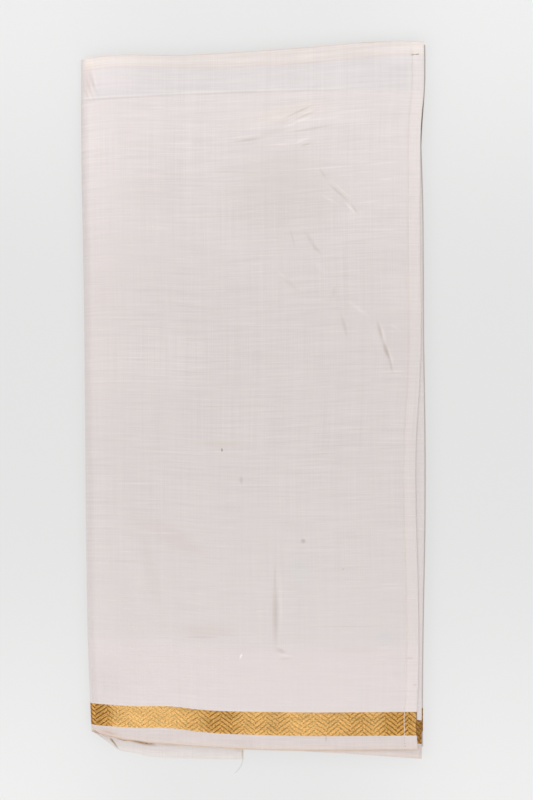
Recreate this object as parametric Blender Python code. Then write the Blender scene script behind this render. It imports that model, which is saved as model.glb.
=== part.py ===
"""A silk dhoti, folded into a flat packet and laid face up on a table.

The long cloth is folded once across its width, with both edges at the lower side,
and then panel over panel along its length. What shows is the outermost panel: its
woven gold border, the plain selvedge strip below it, the hemmed end at the right,
the fold of the cloth at the top, the fold round the left side, and the half under
it, which peeps out at the right and at the foot. The plies between are one solid.

Metres, +Z up, +Y towards the head fold. The origin is under the middle of the packet.
"""
import bpy
import numpy as np

MM = 0.001

# Driving sizes
PLY = 1.0 * MM                # wall that stands for one ply and the air it holds
GAP = 0.3 * MM                # between pieces that touch
CORE_HEIGHT = 3.9 * MM        # all the hidden plies, pressed flat
SIDE_FOLD_DEPTH = 9.0 * MM    # how far in the rounding at the left side reaches
HEM_WIDTH = 11.5 * MM         # turned-under hem at the cloth's end
HEM_RISE = 0.3 * MM           # the hem is thicker than one ply
SELVEDGE_WIDTH = 13.7 * MM    # plain strip outside the gold border
HIDDEN_INSET = 2.5 * MM       # how far hidden plies stay inside the top one
OVERHANG_DROOP = 2.5 * MM     # sag of the head end, past the hidden plies
DROOP_REACH = 18.0 * MM
LAYERS_AT_EDGE = 5            # folded plies that the core shows at its edges
LAYER_DEPTH = 1.2 * MM        # depth of the grooves between them
UNDER_END_X = -8.9 * MM       # the free end of the ply that wraps the left side
HEAD_SHARE = 0.92             # share of a tall ply that lies flat, below the sagging head

# Levels that follow from them
UNDER_LEVEL = 0.0
CORE_LEVEL = UNDER_LEVEL + PLY + GAP
SECOND_LEVEL = CORE_LEVEL + CORE_HEIGHT + GAP
TOP_LEVEL = SECOND_LEVEL + PLY + GAP
PACKET_HEIGHT = TOP_LEVEL + PLY

# Edges seen from above, in millimetres.
# Upright edges: columns y, x.
LEFT_SIDE = ((-302, -147.5), (-232, -150.5), (-136, -152.3), (-40, -153.2),
             (87, -154.4), (246, -157.0), (330, -157.0))
HEMMED_END = ((-320, 150.0), (-294, 148.8), (-264, 150.1), (-168, 150.1), (-104, 148.3),
              (-40, 148.3), (23, 151.9), (183, 152.0), (252, 152.9), (287, 155.6), (330, 155.6))
SECOND_END = ((-330, 154.2), (-200, 155.6), (-168, 157.0), (-9, 157.0), (87, 155.5),
              (183, 154.6), (252, 152.2), (287, 153.8), (330, 154.4))
# Level edges: columns x, y.
HEAD = ((-157, 311.0), (-146, 313.0), (-58, 315.4), (52, 322.5), (106, 327.0),
        (134, 328.0), (157, 327.5))
BORDER_TOP = ((-150, -275.6), (-110, -278.3), (-75, -278.6), (-48, -281.6), (25, -283.8),
              (150, -283.6))
FOOT = ((-147, -302.0), (-112, -310.2), (-76, -313.5), (-48, -315.7), (6, -318.4), (152, -318.4))
SECOND_FOOT = ((-147, -300.0), (43, -319.2), (106, -323.3), (157, -326.9))
UNDER_END_FOOT = ((-147, -302.5), (-135, -310.2), (-123, -319.7), (-105, -323.4),
                  (-92, -326.2), (-62, -327.6), (-35, -328.0), (0, -328.0))
CORE_HEAD = ((-157, 273.5), (-85, 277.5), (43, 282.0), (157, 283.0))
# Widths along the packet: columns x, width.
HEAD_FOLD_WIDTH = ((-146, 11.4), (-85, 11.8), (0, 14.1), (50, 15.0), (90, 14.1), (140, 12.8))
BORDER_WIDTH = ((-150, 19.5), (-48, 20.2), (25, 21.4), (150, 21.6))

# The largest swells of the top ply, in millimetres and degrees:
# columns x, y, half width, half length, height, turn.
SWELLS = ((118, 50, 12, 40, 0.8, 15),
          (20, -186, 10, 48, 0.7, 0),
          (60, 236, 55, 22, 0.8, 70),
          (86, 118, 22, 60, 0.7, 40),
          (-95, 120, 30, 110, 0.5, -8),
          (-60, -120, 60, 90, 0.4, 12))


def edge(table):
    """Return a function that reads an edge table: first column in, second column out."""
    rows = np.array(sorted(table)) * MM
    return lambda at: np.interp(at, rows[:, 0], rows[:, 1])


def moved(line, by):
    """Return the same edge, moved by a distance."""
    return lambda at: line(at) + by


left_side = edge(LEFT_SIDE)
hemmed_end = edge(HEMMED_END)
second_end = edge(SECOND_END)
head = edge(HEAD)
border_top = edge(BORDER_TOP)
foot = edge(FOOT)
second_foot = edge(SECOND_FOOT)
under_end_foot = edge(UNDER_END_FOOT)
core_head = edge(CORE_HEAD)
head_fold_width = edge(HEAD_FOLD_WIDTH)
border_width = edge(BORDER_WIDTH)


def head_fold_line(x):
    """Lower edge of the folded band along the head."""
    return head(x) - head_fold_width(x)


def border_foot(x):
    """Lower edge of the gold border."""
    return border_top(x) - border_width(x)


def droop(x, y):
    """Sag of the upper plies where nothing lies under them, past the core's head."""
    reach = np.clip((y - core_head(x)) / DROOP_REACH, 0, 1)
    return OVERHANG_DROOP * reach ** 2 * (3 - 2 * reach)


def swell(x, y):
    """Height of the top ply's largest swells: a long smooth bump for each row."""
    height = np.zeros_like(x)
    for place_x, place_y, half_width, half_length, rise, turn in SWELLS:
        turn = np.radians(turn)
        across = (x - place_x * MM) * np.cos(turn) + (y - place_y * MM) * np.sin(turn)
        along = (y - place_y * MM) * np.cos(turn) - (x - place_x * MM) * np.sin(turn)
        spread = (across / (half_width * MM)) ** 2 + (along / (half_length * MM)) ** 2
        height = height + rise * MM * np.exp(-spread)
    return height


def shares(rows):
    """Rows of a grid from 0 to 1. A tall one has half of them close to the head's sag."""
    if rows < 20:
        return np.linspace(0, 1, rows + 1)
    near_head = rows // 2
    return np.concatenate([np.linspace(0, HEAD_SHARE, rows - near_head, endpoint=False),
                           np.linspace(HEAD_SHARE, 1, near_head + 1)])


def lay_out(left, right, lower, upper, across, along):
    """Spread a grid of places between two upright edges and two level ones."""
    u, v = np.meshgrid(np.linspace(0, 1, across + 1), shares(along), indexing="ij")
    x = np.zeros_like(u)
    for _ in range(6):
        y = lower(x) + (upper(x) - lower(x)) * v
        x = left(y) + (right(y) - left(y)) * u
    return x, y


def make_material(name, colour, roughness, metallic, sheen):
    material = bpy.data.materials.new(name)
    material.use_nodes = True
    shader = material.node_tree.nodes["Principled BSDF"]
    shader.inputs["Base Color"].default_value = (*colour, 1)
    shader.inputs["Roughness"].default_value = roughness
    shader.inputs["Metallic"].default_value = metallic
    shader.inputs["Sheen Weight"].default_value = sheen
    return material


def add_object(name, points, faces, material, level):
    """One named solid, standing at its own level of the packet."""
    mesh = bpy.data.meshes.new(name)
    mesh.from_pydata(points.tolist(), [], faces.tolist())
    mesh.materials.append(material)
    mesh.shade_smooth()
    mesh.set_sharp_from_angle(angle=np.radians(35))
    piece = bpy.data.objects.new(name, mesh)
    piece.location.z = level
    piece.parent = packet
    bpy.context.scene.collection.objects.link(piece)


def rim_of(rows, columns):
    """Indices round the rim of a grid, anticlockwise from its first corner."""
    index = np.arange(rows * columns).reshape(rows, columns)
    return np.concatenate([index[:-1, 0], index[-1, :-1], index[:0:-1, -1], index[0, :0:-1]])


def quads_of(rows, columns):
    """The grid's faces, seen anticlockwise from the side that its rim is."""
    index = np.arange(rows * columns).reshape(rows, columns)
    return np.stack([index[:-1, :-1], index[1:, :-1], index[1:, 1:], index[:-1, 1:]],
                    axis=-1).reshape(-1, 4)


def add_shell(name, inner, outer, material, level=0.0):
    """Closed solid between two grids of points, with a wall all round their rim."""
    rows, columns, _ = inner.shape
    count = rows * columns
    rim = rim_of(rows, columns)
    after = np.roll(rim, -1)
    wall = np.stack([rim, after, after + count, rim + count], axis=-1)
    faces = np.concatenate([quads_of(rows, columns)[:, ::-1], quads_of(rows, columns) + count, wall])
    add_object(name, np.concatenate([inner.reshape(-1, 3), outer.reshape(-1, 3)]),
               faces, material, level)


def add_plate(name, places, material, level, lift=0.0, thickness=PLY):
    """A ply of even thickness over a grid of places, raised by its lift."""
    x, y = places
    base = lift + np.zeros_like(x)
    add_shell(name, np.stack([x, y, base], axis=-1),
              np.stack([x, y, base + thickness], axis=-1), material, level)


def add_side_fold(name, lower, upper, material, along):
    """A ply that rounds the left side, from the top level to the table: half an ellipse."""
    turn, v = np.meshgrid(np.linspace(0, np.pi, 11), shares(along), indexing="ij")

    def skin(depth):
        y = np.zeros_like(v)
        for _ in range(4):
            x = left_side(y) + SIDE_FOLD_DEPTH - (SIDE_FOLD_DEPTH - depth) * np.sin(turn)
            y = lower(x) + (upper(x) - lower(x)) * v
        half = (PACKET_HEIGHT - droop(x, y)) / 2
        return np.stack([x, y, half + (half - depth) * np.cos(turn)], axis=-1)

    add_shell(name, skin(PLY)[:, ::-1], skin(0.0)[:, ::-1], material)


def add_head_fold(name, material):
    """The cloth's own fold along the head: two plies joined by a half round edge."""
    middle = (SECOND_LEVEL + PLY + TOP_LEVEL) / 2
    radius = PACKET_HEIGHT - middle
    legs = np.linspace(0, 1, 5)[:-1]
    bend = np.linspace(0, np.pi, 7)
    leg_share = np.concatenate([legs, np.ones_like(bend), legs[::-1]])
    turn = np.concatenate([np.zeros_like(legs), bend, np.full_like(legs, np.pi)])
    u, turn = np.meshgrid(np.linspace(0, 1, 21), turn, indexing="ij")
    leg_share = np.broadcast_to(leg_share, u.shape)

    def skin(depth):
        x = np.zeros_like(u)
        for _ in range(6):
            start = head_fold_line(x)
            y = start + (head(x) - radius - start) * leg_share + (radius - depth) * np.sin(turn)
            left = left_side(y) + SIDE_FOLD_DEPTH + GAP
            x = left + (hemmed_end(y) - left) * u
        return np.stack([x, y, middle + (radius - depth) * np.cos(turn) - droop(x, y)], axis=-1)

    add_shell(name, skin(PLY), skin(0.0), material)


def add_core(name, material):
    """All the hidden plies as one pressed stack, rounded and grooved along its edges."""
    across, along = 10, 16
    heights = np.linspace(0, 1, 4 * LAYERS_AT_EDGE + 1)
    groove = LAYER_DEPTH * (1 - np.sqrt(np.abs(np.sin(np.pi * LAYERS_AT_EDGE * heights))))
    half = PACKET_HEIGHT / 2
    level_height = (CORE_LEVEL + CORE_HEIGHT * heights - half) / (half - PLY)
    side_room = SIDE_FOLD_DEPTH - (SIDE_FOLD_DEPTH - PLY) * np.sqrt(1 - level_height ** 2)

    def layer(step):
        x, y = lay_out(moved(left_side, side_room[step] + 2 * GAP + groove[step] / 2),
                       moved(second_end, -HIDDEN_INSET - groove[step]),
                       moved(foot, HIDDEN_INSET + groove[step] / 2),
                       moved(core_head, -groove[step]), across, along)
        return np.stack([x, y, np.full_like(x, CORE_HEIGHT * heights[step])], axis=-1).reshape(-1, 3)

    rows, columns = across + 1, along + 1
    rim = rim_of(rows, columns)
    layers = [layer(step) for step in range(len(heights))]
    count = rows * columns
    points = [layers[0]] + [places[rim] for places in layers[1:-1]] + [layers[-1]]
    rings = [rim]
    for step in range(1, len(heights) - 1):
        rings.append(count + (step - 1) * len(rim) + np.arange(len(rim)))
    top_start = count + (len(heights) - 2) * len(rim)
    rings.append(top_start + rim)
    walls = [np.stack([low, np.roll(low, -1), np.roll(high, -1), high], axis=-1)
             for low, high in zip(rings[:-1], rings[1:])]
    quads = quads_of(rows, columns)
    add_object(name, np.concatenate(points),
               np.concatenate([quads[:, ::-1], quads + top_start] + walls), material, CORE_LEVEL)


for old in list(bpy.data.objects):
    bpy.data.objects.remove(old, do_unlink=True)

packet = bpy.data.objects.new("packet", None)
bpy.context.scene.collection.objects.link(packet)

silk = make_material("silk", (0.72, 0.65, 0.63), 0.62, 0.0, 0.25)
selvedge = make_material("selvedge", (0.68, 0.60, 0.57), 0.66, 0.0, 0.2)
zari = make_material("zari", (0.62, 0.38, 0.11), 0.42, 0.85, 0.0)

# The bands that the loom wove across the cloth, and their share of the grid's rows:
# name's ending, lower edge, upper edge, material, rows on the top ply.
BANDS = (("panel", border_top, head_fold_line, silk, 34),
         ("border", border_foot, moved(border_top, -GAP), zari, 2),
         ("selvedge", foot, moved(border_foot, -GAP), selvedge, 1))

hem_line = moved(hemmed_end, -HEM_WIDTH)

# The outermost panel: the flat of the top ply, its hem and the fold round the left side.
for ending, lower, upper, material, rows in BANDS:
    upper = moved(upper, -GAP) if ending == "panel" else upper
    flat = lay_out(moved(left_side, SIDE_FOLD_DEPTH + GAP), moved(hem_line, -GAP),
                   lower, upper, 16, rows)
    add_plate("top_" + ending, flat, material, TOP_LEVEL, swell(*flat) - droop(*flat))
    hem = lay_out(hem_line, hemmed_end, lower, upper, 2, rows)
    hem_name = "end_hem" if ending == "panel" else "end_hem_" + ending
    add_plate(hem_name, hem, material, TOP_LEVEL, -droop(*hem), PLY + HEM_RISE)
    fold_name = "side_fold" if ending == "panel" else "side_fold_" + ending
    add_side_fold(fold_name, lower, head if ending == "panel" else upper, material, min(rows, 24))

add_head_fold("head_fold", silk)

# The half that lies under the top ply, as deep but set lower and further right.
second_left = moved(left_side, 0.7 * SIDE_FOLD_DEPTH)
second_border_foot = moved(second_foot, SELVEDGE_WIDTH)


def second_border_top(x):
    """Upper edge of the second half's gold border."""
    return second_border_foot(x) + border_width(x)


for ending, lower, upper, material, rows in (
        ("panel", moved(second_border_top, GAP), moved(head_fold_line, -2 * GAP), silk, 24),
        ("border", second_border_foot, second_border_top, zari, 1),
        ("selvedge", second_foot, moved(second_border_foot, -GAP), selvedge, 1)):
    flat = lay_out(second_left, second_end, lower, upper, 16, rows)
    add_plate("second_" + ending, flat, material, SECOND_LEVEL, -droop(*flat))

add_core("folded_core", silk)


# The ply on the table: the end that comes round the left side and stops at mid width,
# sagging past the foot, and another panel beside it.
under_end_border_foot = moved(under_end_foot, SELVEDGE_WIDTH)


def under_end_border_top(x):
    """Upper edge of the gold border on the wrapped end."""
    return under_end_border_foot(x) + border_width(x)


under_head = moved(head, -HIDDEN_INSET)
wrapped_start = moved(left_side, SIDE_FOLD_DEPTH + GAP)
under_foot = moved(foot, HIDDEN_INSET)
under_border_foot = moved(under_foot, SELVEDGE_WIDTH)


def under_border_top(x):
    """Upper edge of the gold border on the hidden panel beside it."""
    return under_border_foot(x) + border_width(x)


wrapped_bands = (("panel", moved(under_end_border_top, GAP), under_head, silk),
                 ("border", under_end_border_foot, under_end_border_top, zari),
                 ("selvedge", under_end_foot, moved(under_end_border_foot, -GAP), selvedge))
beside_bands = (("panel", moved(under_border_top, GAP), under_head, silk),
                ("border", under_border_foot, under_border_top, zari),
                ("selvedge", under_foot, moved(under_border_foot, -GAP), selvedge))
for prefix, start, end, bands in (
        ("under_end_", wrapped_start, lambda y: np.full_like(y, UNDER_END_X), wrapped_bands),
        ("under_", lambda y: np.full_like(y, UNDER_END_X + 2 * GAP),
         moved(second_end, -HIDDEN_INSET), beside_bands)):
    for ending, lower, upper, material in bands:
        add_plate(prefix + ending, lay_out(start, end, lower, upper, 10, 4), material, UNDER_LEVEL)
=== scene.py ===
"""Looks of a silk dhoti that lies folded flat: its thin plies, woven gold border, hem,
creases and slubs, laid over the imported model. Metres, +Z up, +Y towards the head fold."""

import bpy
import numpy as np
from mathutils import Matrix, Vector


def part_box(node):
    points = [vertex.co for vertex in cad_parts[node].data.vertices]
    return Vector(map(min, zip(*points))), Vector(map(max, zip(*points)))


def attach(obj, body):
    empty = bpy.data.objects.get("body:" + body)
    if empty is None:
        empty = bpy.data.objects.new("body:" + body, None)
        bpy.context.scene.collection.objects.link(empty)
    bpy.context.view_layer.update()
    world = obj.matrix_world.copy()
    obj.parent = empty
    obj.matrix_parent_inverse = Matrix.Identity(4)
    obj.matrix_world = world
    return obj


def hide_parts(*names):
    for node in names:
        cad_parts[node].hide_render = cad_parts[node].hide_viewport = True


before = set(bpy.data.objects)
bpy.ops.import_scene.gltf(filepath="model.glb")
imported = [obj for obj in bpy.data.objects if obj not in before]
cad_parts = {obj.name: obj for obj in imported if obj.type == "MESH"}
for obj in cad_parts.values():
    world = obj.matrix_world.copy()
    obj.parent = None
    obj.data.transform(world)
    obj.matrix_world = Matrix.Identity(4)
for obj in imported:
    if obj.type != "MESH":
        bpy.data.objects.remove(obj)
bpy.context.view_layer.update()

# ---- The outermost ply: its plain silk field ---------------------------------------------
# One thin handloom silk, woven in one piece with its gold border. Its hemmed end lies at
# the right; the cloth runs left over the packet, rounds its left side and goes back under
# on the table. Along the head it's folded over to its own second half.

MM = 0.001
CLOTH = 0.25 * MM             # thickness of one ply of the silk
SIDE_FOLD_DEPTH = 9.0 * MM    # how far in the rounding at the left side reaches
HEM_WIDTH = 11.5 * MM         # turned-under hem at the cloth's end
HEM_TURN = 1.1 * CLOTH        # radius of the hem's own fold
HEM_RISE = 0.3 * MM
HEAD_TURN = 0.42 * MM         # radius of the fold along the head
OVERHANG_DROOP = 2.5 * MM     # sag of the head end, past the hidden plies
FREE_END_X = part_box("under_end_panel")[1].x
PACKET_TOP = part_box("top_selvedge")[1].z

# Edges seen from above, in millimetres. Upright edges: columns y, x.
LEFT_SIDE = ((-302, -147.5), (-232, -150.5), (-136, -152.3), (-40, -153.2),
             (87, -154.4), (246, -157.0), (330, -157.0))
HEMMED_END = ((-320, 150.0), (-294, 148.8), (-264, 150.1), (-168, 150.1), (-104, 148.3),
              (-40, 148.3), (23, 151.9), (183, 152.0), (252, 152.9), (287, 155.6), (330, 155.6))
# Level edges: columns x, y.
HEAD = ((-157, 311.0), (-146, 313.0), (-58, 315.4), (52, 322.5), (106, 327.0),
        (134, 328.0), (157, 327.5))
BORDER_TOP = ((-150, -275.6), (-110, -278.3), (-75, -278.6), (-48, -281.6), (25, -283.8),
              (150, -283.6))
FOOT = ((-157, -299.0), (-147, -302.0), (-112, -310.2), (-76, -313.5), (-48, -315.7),
        (6, -318.4), (152, -318.4))
FLAP_FOOT = ((-157, -299.5), (-147, -302.3), (-135, -310.4), (-125, -317.9), (-122.3, -319.7),
             (-119, -320.4), (-108.6, -321.9), (-95, -325.2), (-81, -326.4), (-62, -327.1),
             (-35, -327.7), (0, -327.8))
CORE_HEAD = ((-157, 273.5), (-85, 277.5), (43, 282.0), (157, 283.0))
# Widths along the packet: columns x, width.
HEAD_FOLD_WIDTH = ((-146, 11.4), (-85, 11.8), (0, 14.1), (50, 15.0), (90, 14.1), (140, 12.8))
BORDER_WIDTH = ((-150, 19.5), (-48, 20.2), (25, 21.4), (150, 21.6))
FLAP_SELVEDGE_WIDTH = ((-157, 10.0), (-147, 9.0), (-112, 10.2), (-100, 10.9), (-88, 12.4),
                       (-76, 14.0), (0, 14.0))

# Swells of the top ply: columns x, y, half width, half length, height, turn (mm, degrees).
SWELLS = ((118, 50, 12, 40, 0.8, 15),
          (20, -186, 10, 48, 0.5, 0),
          (60, 236, 55, 22, 0.8, 70),
          (86, 118, 22, 60, 0.7, 40),
          (-95, 120, 30, 110, 0.5, -8),
          (-60, -120, 60, 90, 0.4, 12))

# Creases of the top ply, ridges up and troughs down:
# columns x and y of one end, x and y of the other, half width, height (mm).
CREASES = ((112.6, 74.2, 118.4, 51.5, 1.8, -0.6),      # the pucker near the hem
           (117.6, 55.0, 124.8, 36.0, 2.1, -1.0),
           (122.6, 43.0, 128.0, 22.5, 1.1, -0.55),
           (115.2, 72.5, 122.0, 49.5, 1.3, 0.55),
           (121.4, 52.0, 128.6, 31.0, 1.3, 0.65),
           (107.5, 72.0, 115.0, 44.0, 3.4, 0.3),
           (74.5, 105.0, 72.6, 92.6, 2.6, -0.35),
           (79.0, 82.4, 86.3, 55.1, 2.0, -0.4),
           (85.4, 91.6, 107.3, 75.2, 2.4, 0.45),
           (124.0, 69.5, 134.5, 64.0, 1.5, 0.35),
           (59.0, 214.0, 68.0, 199.5, 1.6, -0.3),       # the slanting ones below the head
           (67.2, 198.6, 88.1, 180.4, 1.3, -0.5),
           (88.1, 180.4, 96.3, 169.0, 1.4, -0.35),
           (70.8, 200.9, 90.9, 182.7, 1.2, 0.45),
           (82.7, 181.8, 93.6, 169.9, 1.5, 0.75),
           (59.9, 189.0, 79.9, 177.2, 1.3, 0.45),
           (46.2, 155.3, 59.0, 135.3, 2.4, -0.35),
           (53.5, 141.7, 62.6, 133.5, 1.9, -0.4),
           (21.6, 118.9, 30.7, 109.8, 1.8, 0.4),
           (23.5, 115.2, 42.6, 98.8, 2.4, -0.25),
           (52.0, 131.0, 69.0, 113.0, 3.4, 0.35),
           (24.4, 255.5, 58.1, 271.0, 1.2, -0.6),       # those that fan out under the head
           (27.1, 251.6, 60.4, 267.8, 1.1, 0.4),
           (33.9, 254.9, 60.4, 265.1, 1.1, -0.45),
           (19.8, 245.5, 62.6, 263.0, 1.5, 0.5),
           (15.3, 243.7, 83.6, 262.8, 5.5, 0.5),
           (-21.2, 235.0, 13.0, 240.0, 1.3, -0.55),
           (26.2, 243.0, 79.0, 252.2, 1.3, -0.5),
           (-23.0, 238.4, 14.0, 243.8, 1.3, 0.3),
           (-21.0, 241.5, 58.0, 269.5, 3.4, 0.35),
           (-12.0, 236.5, 48.0, 252.5, 3.0, -0.22),
           (4.0, 230.5, 72.0, 243.5, 2.6, 0.3),
           (15.3, 233.2, 36.2, 233.2, 1.2, 0.4),
           (35.3, 233.4, 52.6, 240.0, 1.2, 0.6),
           (41.7, 231.2, 54.4, 235.2, 1.2, -0.5),
           (19.8, -145.3, 19.8, -176.0, 1.3, -0.3),     # the upright one below the middle
           (20.0, -160.0, 20.6, -229.0, 3.0, -0.85),
           (25.2, -148.5, 25.4, -220.0, 1.5, 0.3),
           (20.3, -225.5, 30.5, -230.3, 2.0, -0.6),
           (19.8, -231.0, 36.8, -232.8, 1.3, 0.5),
           (22.0, -235.6, 36.8, -234.6, 1.3, -0.3),
           (-83.0, -95.0, -83.2, -201.0, 1.3, 0.16),
           (-126.0, -90.0, -94.0, -219.0, 8.0, 0.35),
           (-109.0, -92.0, -78.0, -214.0, 7.0, -0.3),
           (-146.9, 311.5, -143.0, 281.0, 1.6, 0.42),   # the crumple in the head's left corner
           (-151.5, 293.8, -142.4, 271.0, 1.5, 0.3),
           (-150.5, 301.1, -140.5, 275.6, 1.5, -0.3),
           (-153.6, 296.5, -144.0, 272.0, 1.5, -0.34),
           (-156.0, 288.3, -148.4, 271.0, 1.4, -0.3))

# Drawn weft threads, and hair-fine wrinkles drawn only as painted shade and highlight, with the same
# columns.
FINE_LINES = ((35.3, 209.5, 101.8, 215.0, 0.9, 0.6), (101.8, 215.0, 137.0, 218.2, 0.8, 0.45),
              (113.6, 200.9, 127.5, 201.9, 0.8, 0.5), (90.0, 179.5, 121.5, 183.1, 0.8, 0.4),
              (101.8, 155.3, 135.5, 155.8, 0.8, 0.4), (118.5, 26.9, 141.0, 26.9, 0.7, 0.5),
              (118.5, 23.5, 141.0, 23.5, 0.7, 0.4), (-149.5, -46.9, 62.0, -46.7, 0.7, 0.35),
              (-129.5, -75.0, -77.0, -76.2, 0.8, 0.45), (-32.5, -77.0, 43.5, -77.2, 0.8, 0.45),
              (-114.5, -120.7, -48.0, -120.6, 0.8, 0.45), (-153.5, 17.8, -48.0, 17.9, 0.8, 0.4),
              (111.5, -167.2, 140.0, -167.2, 0.7, 0.45), (111.5, -170.9, 140.0, -170.8, 0.7, 0.4),
              (-48.5, 208.2, 8.0, 208.2, 1.0, -0.25), (33.5, 158.0, 38.9, 135.3, 1.1, -0.3),
              (-100.0, 166.0, 12.0, 168.5, 0.8, -0.25), (-90.0, 104.0, -8.0, 104.4, 0.8, 0.3),
              (40.0, 62.5, 108.0, 63.5, 0.8, 0.3), (-60.0, -5.5, 26.0, -5.0, 0.8, -0.25),
              (-140.0, 232.0, -64.0, 233.5, 0.9, -0.2), (30.0, -101.5, 96.0, -101.2, 0.8, 0.3),
              (-139.0, -146.0, -92.0, -146.2, 0.8, -0.25), (52.0, -206.0, 122.0, -205.6, 0.9, -0.25))

CREASE_SPREAD = 1.25          # how much wider than its row a crease's form is
CREASE_LIFT = 0.8             # and how much lower
SHADE_SPREAD = 1.35           # how much wider its shade is

# Slow waves of cloth that has lain folded: columns wavelength across, wavelength along
# (signed, mm), height (mm), start (turns).
WAVES = ((83, 190, 0.12, 0.1), (47, -121, 0.09, 0.4), (240, 66, 0.08, 0.7), (-61, 95, 0.06, 0.2))


def edge(rows):
    """A smooth line through a few places given in millimetres: a cubic in each stretch,
    whose slope at a place is the mean slope between its neighbours."""
    at, value = np.array(rows, float).T * MM
    slope = np.gradient(value, at)

    def line(where):
        where = np.clip(where, at[0], at[-1])
        low = np.clip(np.searchsorted(at, where) - 1, 0, len(at) - 2)
        width = at[low + 1] - at[low]
        t = (where - at[low]) / width
        return (value[low] * (1 + 2 * t) * (1 - t) ** 2 + value[low + 1] * t * t * (3 - 2 * t)
                + width * t * (1 - t) * (slope[low] * (1 - t) - slope[low + 1] * t))
    return line


left_side, hemmed_end, head = edge(LEFT_SIDE), edge(HEMMED_END), edge(HEAD)
border_top, foot, flap_foot, core_head = edge(BORDER_TOP), edge(FOOT), edge(FLAP_FOOT), edge(CORE_HEAD)
head_fold_width, border_width = edge(HEAD_FOLD_WIDTH), edge(BORDER_WIDTH)
flap_selvedge_width = edge(FLAP_SELVEDGE_WIDTH)


def smooth(low, high, value):
    """A soft step from 0 to 1 between two values: 3 t squared less 2 t cubed."""
    t = np.clip((value - low) / (high - low), 0, 1)
    return t * t * (3 - 2 * t)


def head_fold_line(x):
    """Lower edge of the doubled band along the head."""
    return head(x) - head_fold_width(x)


def border_foot(x):
    """Lower edge of the gold border."""
    return border_top(x) - border_width(x)


def crease_field(x, y):
    """Sum of the ridges and troughs at each place. Each falls off as the bell curve of the
    distance to its line, and fades out as a sine along it."""
    total = np.zeros_like(x)
    for start_x, start_y, end_x, end_y, half_width, height in CREASES:
        run_x, run_y = (end_x - start_x) * MM, (end_y - start_y) * MM
        off_x, off_y = x - start_x * MM, y - start_y * MM
        t = np.clip((off_x * run_x + off_y * run_y) / (run_x ** 2 + run_y ** 2), 0, 1)
        away = np.hypot(off_x - t * run_x, off_y - t * run_y) / (CREASE_SPREAD * half_width * MM)
        fading = np.exp(-away ** 2) * np.sin(np.pi * t) ** 0.6
        total = total + CREASE_LIFT * height * MM * fading
    return total


def relief(x, y):
    """Height of the top ply over the flat stack: bell-shaped swells, slow waves, creases."""
    height = crease_field(x, y)
    for place_x, place_y, half_width, half_length, rise, turn in SWELLS:
        turn = np.radians(turn)
        across = (x - place_x * MM) * np.cos(turn) + (y - place_y * MM) * np.sin(turn)
        along = (y - place_y * MM) * np.cos(turn) - (x - place_x * MM) * np.sin(turn)
        height = height + rise * MM * np.exp(-(across / (half_width * MM)) ** 2
                                             - (along / (half_length * MM)) ** 2)
    for across, along, rise, start in WAVES:
        height = height + rise * MM * np.sin(2 * np.pi * (x / across / MM + y / along / MM + start))
    return height


def droop(x, y):
    """Sag of the upper plies past the hidden ones' head end: quick at first, then level."""
    past = np.clip((y - core_head(x)) / (18 * MM), 0, 1)
    return OVERHANG_DROOP * (1 - (1 - past) ** 2.2)


def top_height(x, y):
    """Top face of the outermost ply: the stack, the relief, and the step up to the hem."""
    hem = smooth(-0.8 * MM, 0.8 * MM, x - hemmed_end(y) + HEM_WIDTH)
    return PACKET_TOP - droop(x, y) + relief(x, y) + HEM_RISE * hem


def spaced(start, end, gap, close=()):
    """Places from start to end, a gap apart, or closer within named stretches: the running
    sum of one over the local gap, read backwards at whole steps."""
    fine = np.linspace(start, end, 6001)
    local = np.full_like(fine, gap)
    for low, high, near in close:
        local[(fine > low) & (fine < high)] = near
    steps = np.concatenate([[0], np.cumsum(np.diff(fine) / local[1:])])
    return np.interp(np.linspace(0, steps[-1], int(np.ceil(steps[-1])) + 1), steps, fine)


def run(start, end, shares, height, drop=0.0, outward=(0.0, 1.0), depth=HEAD_TURN):
    """Columns along a flat stretch of a ply's section. A place is the share of the left
    edge's x and of the right edge's x that it takes, and a shift. With it go the height
    (1 on top, 0 on the table), a drop, the outward direction and the head fold's radius."""
    t = np.asarray(shares)[:, None]
    places = np.asarray(start) * (1 - t) + np.asarray(end) * t
    return np.hstack([places, np.tile([height, drop, *outward, depth], (len(t), 1))])


def side_round(reach, half_height, depth):
    """Columns round the left side: half an ellipse from the top down to the table."""
    turn = np.linspace(0, np.pi, 16)[1:-1]
    slope_x, slope_z = -np.sin(turn) / reach, np.cos(turn) / half_height
    size = np.hypot(slope_x, slope_z)
    flat = np.zeros_like(turn)
    return np.stack([flat + 1, flat, reach * (1 - np.sin(turn)), (1 + np.cos(turn)) / 2, flat,
                     slope_x / size, slope_z / size, flat + depth], axis=1)


def hem_round(depth):
    """Columns of the end's hem: the turned-under strip, then half round up to the top."""
    under = run((0, 1, -HEM_WIDTH), (0, 1, -HEM_TURN), np.linspace(0, 1, 6), 1.0,
                2 * HEM_TURN, depth=depth - 2 * HEM_TURN)
    turn = np.linspace(-np.pi / 2, np.pi / 2, 8)[1:-1]
    flat = np.zeros_like(turn)
    drop = HEM_TURN * (1 - np.sin(turn))
    bend = np.stack([flat, flat + 1, HEM_TURN * (np.cos(turn) - 1), flat + 1, drop, flat,
                     flat + 1, depth - drop], axis=1)
    return np.vstack([under, bend])


def lay(section, shares, lower, upper, left, right, top, floor):
    """Points of a ply: each column at its share of the side edges, each row at its share of
    the way between the level edges, and heights between the top face and the floor's."""
    to_left, to_right, shift, height, drop = section[:, :5].T[:, :, None]
    y = np.zeros((len(section), len(shares)))
    for _ in range(8):
        x = to_left * left(y) + to_right * right(y) + shift
        y = lower(x, height) + (upper(x, height) - lower(x, height)) * shares
    return x, y, floor + (top(x, y) - floor) * height - drop


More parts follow.
